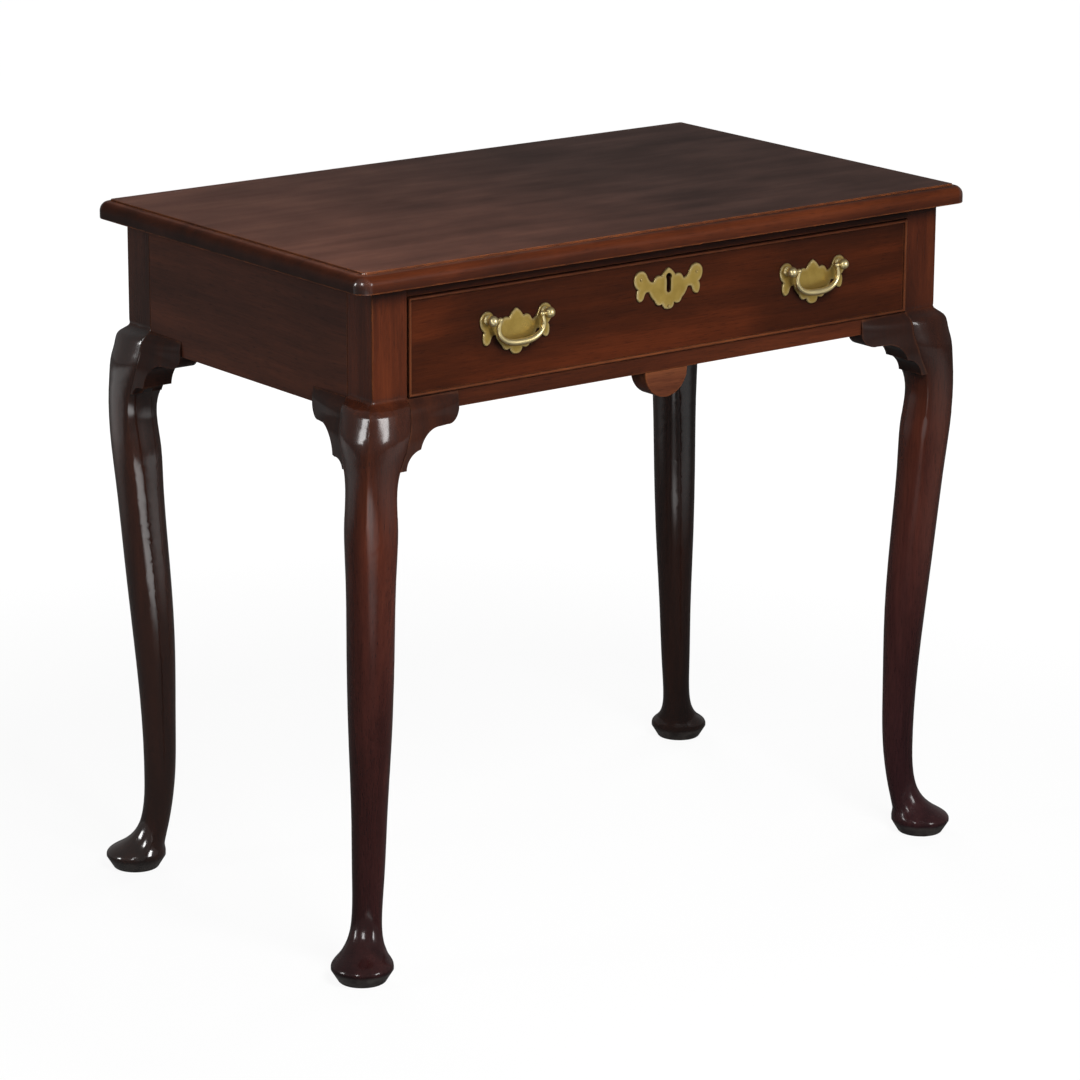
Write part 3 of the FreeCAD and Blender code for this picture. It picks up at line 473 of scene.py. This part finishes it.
finishes = {
    "top": ["top"], "front": ["drawer_front"], "rail": ["front_rail", "top_rail"],
    "end": ["side_rail_left", "side_rail_right"],
    "leg": ["leg_front_left"], "shadedRightLeg": ["leg_front_right"],
    "shadedBackLeg": ["leg_back_left"], "deepShadedLeg": ["leg_back_right"],
    "bracket": ["bracket_front_left", "bracket_front_right", "bracket_front_left_side",
                "bracket_front_right_side", "bracket_back_left_side", "bracket_back_right_side"],
    "drop": ["apron_drop"], "bead": ["cock_bead_top", "cock_bead_bottom"],
    "beadUpright": ["cock_bead_left", "cock_bead_right"],
    "oak": ["glue_blocks", "drawer_stops", "drawer_back", "drawer_bottom"],
    "oakCross": ["drawer_side_left", "drawer_side_right", "drawer_runner_left",
                 "drawer_runner_right", "drawer_guide_left", "drawer_guide_right",
                 "kicker_left", "kicker_right"],
    "back": ["back_rail"],
    "brass": ["handle_plate_left", "handle_plate_right", "handle_nuts",
              "escutcheon", "escutcheon_pins"],
    "handledBrass": ["handle_posts_left", "handle_posts_right", "bail_left", "bail_right"],
    "iron": ["lock_case", "lock_bolt", "lock_screws", "top_screws", "drawer_nails"],
}
for finish, names in finishes.items():
    for name in names:
        nodes[name].data.materials.clear()
        nodes[name].data.materials.append(materials[finish])
print("finishes on", sum(len(names) for names in finishes.values()), "nodes")

# pieces whose sharp edges are rubbed round by use: widths in metres, angles in degrees
softening = {"weld": 0.000002, "flatAngle": 0.2, "segments": 2, "edgeAngle": 35, "smoothAngle": 38}
softEdges = {
    "top": {"width": 0.0007, "flat": False, "clamp": False},
    "leg": {"width": 0.0010, "flat": False, "clamp": False},
    "shadedRightLeg": {"width": 0.0010, "flat": False, "clamp": False},
    "shadedBackLeg": {"width": 0.0010, "flat": False, "clamp": False},
    "deepShadedLeg": {"width": 0.0010, "flat": False, "clamp": False},
    "bracket": {"width": 0.0008, "flat": False, "clamp": True},
    "drop": {"width": 0.0009, "flat": False, "clamp": False},
    "end": {"width": 0.0007, "flat": True, "clamp": False},
    "rail": {"width": 0.0007, "flat": True, "clamp": False},
    "back": {"width": 0.0010, "flat": True, "clamp": False},
    "oakCross": {"width": 0.0008, "flat": True, "clamp": False},
}


def softenedPiece(name, soft):
    piece = bpy.data.objects.new(name + ".softened", nodes[name].data.copy())
    bpy.context.scene.collection.objects.link(piece)
    bpy.ops.object.select_all(action="DESELECT")
    piece.select_set(True)
    bpy.context.view_layer.objects.active = piece
    bpy.ops.mesh.customdata_custom_splitnormals_clear()
    bpy.ops.object.mode_set(mode="EDIT")
    bpy.ops.mesh.select_all(action="SELECT")
    bpy.ops.mesh.remove_doubles(threshold=softening["weld"])
    if soft["flat"]:  # the triangles of a flat face become one face
        bpy.ops.mesh.dissolve_limited(angle_limit=radians(softening["flatAngle"]))
    bpy.ops.object.mode_set(mode="OBJECT")
    bevel = piece.modifiers.new("softEdge", "BEVEL")
    bevel.width = soft["width"]
    bevel.segments = softening["segments"]
    bevel.limit_method = "ANGLE"
    bevel.angle_limit = radians(softening["edgeAngle"])
    bevel.use_clamp_overlap = soft["clamp"]
    bpy.ops.object.modifier_apply(modifier=bevel.name)
    bpy.ops.object.shade_smooth_by_angle(angle=radians(softening["smoothAngle"]))
    flatter = piece.modifiers.new("flatFaces", "WEIGHTED_NORMAL")
    flatter.keep_sharp = True
    bpy.ops.object.modifier_apply(modifier=flatter.name)
    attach(piece, bodyOf[name])
    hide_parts(name)


for finish, soft in softEdges.items():
    for name in finishes[finish]:
        softenedPiece(name, soft)
print("edges softened on", sum(len(finishes[finish]) for finish in softEdges), "pieces")

# what the camera sees is white, while polish and brass see a dim room and floor
studio = {"floorSize": 14.0, "floorGlow": 0.917, "farGlow": 1.0, "farStart": 0.7, "farEnd": 1.9,
          "floorShade": 0.06, "floorBounce": 0.4, "floorInPolish": 0.09,
          "ambient": 0.08, "seenInPolish": 0.19}
# patches of lit floor that show in polish and brass
pools = [{"place": (-0.92, -1.52, 0.0), "inner": 0.35, "outer": 0.80, "glow": 2.1},
         {"place": (-2.20, 2.40, 0.0), "inner": 0.9, "outer": 1.8, "glow": 0.5},
         {"place": (1.60, -2.40, 0.0), "inner": 0.8, "outer": 2.0, "glow": 0.6}]


def seenDirectly(tree, path):
    return calculate(tree, "MAXIMUM", path["Is Camera Ray"], path["Is Transmission Ray"])


def mixShaders(tree, factor, first, second):
    return addNode(tree, "MixShader", {0: factor, 1: first.outputs[0], 2: second.outputs[0]})


def makeFloor():
    bpy.ops.object.select_all(action="DESELECT")
    bpy.ops.mesh.primitive_plane_add(size=studio["floorSize"], location=(0, 0, 0))
    floor = bpy.context.active_object
    floor.name = "paperFloor"
    material, tree, shader = newMaterial("palePaper")
    tree.nodes.remove(shader)
    path = addNode(tree, "LightPath").outputs
    place = addNode(tree, "TexCoord").outputs["Object"]
    # to the camera: white, with the shadow of the table
    away = vectorMath(tree, "LENGTH", place)["Value"]
    glow = remap(tree, away, (studio["farStart"], studio["farEnd"]),
                 (studio["floorGlow"], studio["farGlow"]))
    shadow = addNode(tree, "BsdfDiffuse", {"Color": grey(studio["floorShade"])})
    lit = addNode(tree, "Emission", {"Strength": glow})
    seen = addNode(tree, "AddShader", {0: shadow.outputs[0], 1: lit.outputs[0]})
    # to polish and brass: dim, with the lit patches
    gleam = studio["floorInPolish"]
    for pool in pools:
        reach = vectorMath(tree, "DISTANCE", place, pool["place"])["Value"]
        patch = remap(tree, reach, (pool["inner"], pool["outer"]),
                      (pool["glow"], studio["floorInPolish"]))
        gleam = calculate(tree, "MAXIMUM", gleam, patch)
    mirrored = addNode(tree, "Emission", {"Strength": gleam})
    paper = addNode(tree, "BsdfDiffuse", {"Color": grey(studio["floorBounce"])})
    plain = mixShaders(tree, seenDirectly(tree, path), paper, seen)
    above = mixShaders(tree, path["Is Glossy Ray"], plain, mirrored)
    # from below, the floor is clear
    surface = addNode(tree, "NewGeometry")
    whole = mixShaders(tree, surface.outputs["Backfacing"], above, addNode(tree, "BsdfTransparent"))
    join(tree, whole.outputs[0], tree.nodes["Material Output"].inputs["Surface"])
    floor.data.materials.append(material)


def makeWorld():
    world = bpy.data.worlds.new("whiteRoom")
    bpy.context.scene.world = world
    world.use_nodes = True
    tree = world.node_tree
    path = addNode(tree, "LightPath").outputs
    ambient = studio["ambient"]
    lift = studio["seenInPolish"] - ambient
    around = calculate(tree, "MULTIPLY_ADD", path["Is Glossy Ray"], lift, ambient)
    strength = calculate(tree, "MULTIPLY_ADD", seenDirectly(tree, path), 1.0 - ambient, around)
    background = tree.nodes["Background"]
    join(tree, grey(1.0), background.inputs["Color"])
    join(tree, strength, background.inputs["Strength"])


# windows show in the polish, the others only light the table
lamps = {
    "windowFront": {"place": (0.72, -2.85, 1.32), "width": 0.68, "height": 0.85, "power": 28.0,
                    "lights": False, "gleams": True},
    "windowLeft": {"place": (-2.95, 0.95, 1.18), "width": 0.65, "height": 0.80, "power": 22.0,
                   "lights": True, "gleams": True},
    "windowCorner": {"place": (-2.35, -1.55, 1.62), "width": 0.45, "height": 0.75, "power": 16.0,
                     "lights": False, "gleams": True},
    "overheadLeft": {"place": (-0.34, -1.49, 1.65), "width": 0.9, "height": 0.9, "power": 53.0,
                     "lights": True, "gleams": False},
    "fillRight": {"place": (3.0, 0.9, 1.2), "width": 1.4, "height": 1.2, "power": 45.0,
                  "lights": True, "gleams": False},
    "fillBack": {"place": (0.9, 3.0, 1.3), "width": 1.6, "height": 1.2, "power": 60.0,
                 "lights": True, "gleams": False},
}
lampAim = Vector((0.0, 0.0, 0.45))


def makeLamps():
    for name, lamp in lamps.items():
        data = bpy.data.lights.new(name, "AREA")
        data.shape = "RECTANGLE"
        data.size = lamp["width"]
        data.size_y = lamp["height"]
        data.energy = lamp["power"]
        holder = bpy.data.objects.new(name, data)
        bpy.context.scene.collection.objects.link(holder)
        holder.location = lamp["place"]
        holder.visible_diffuse = lamp["lights"]
        holder.visible_glossy = lamp["gleams"]
        holder.rotation_euler = (lampAim - holder.location).to_track_quat("-Z", "Y").to_euler()


# angles in degrees, lens and sensor in millimetres
shot = {"target": (0.0072, 0.0, 0.3410), "distance": 4.5655, "aroundLeft": 37.65, "above": 15.64,
        "tilt": 0.287, "lens": 144.57, "sensor": 36.0}


def makeCamera():
    data = bpy.data.cameras.new("shotCamera")
    data.lens = shot["lens"]
    data.sensor_width = shot["sensor"]
    camera = bpy.data.objects.new("shotCamera", data)
    bpy.context.scene.collection.objects.link(camera)
    around, above = radians(shot["aroundLeft"]), radians(shot["above"])
    back = Vector((-sin(around) * cos(above), -cos(around) * cos(above), sin(above)))
    camera.location = Vector(shot["target"]) + back * shot["distance"]
    camera.rotation_mode = "QUATERNION"
    level = (-back).to_track_quat("-Z", "Y")
    camera.rotation_quaternion = level @ Quaternion((0, 0, 1), radians(shot["tilt"]))
    bpy.context.scene.camera = camera


makeFloor()
makeWorld()
makeLamps()
makeCamera()
bpy.context.scene.view_settings.view_transform = "Standard"
print("floor, light and camera set")
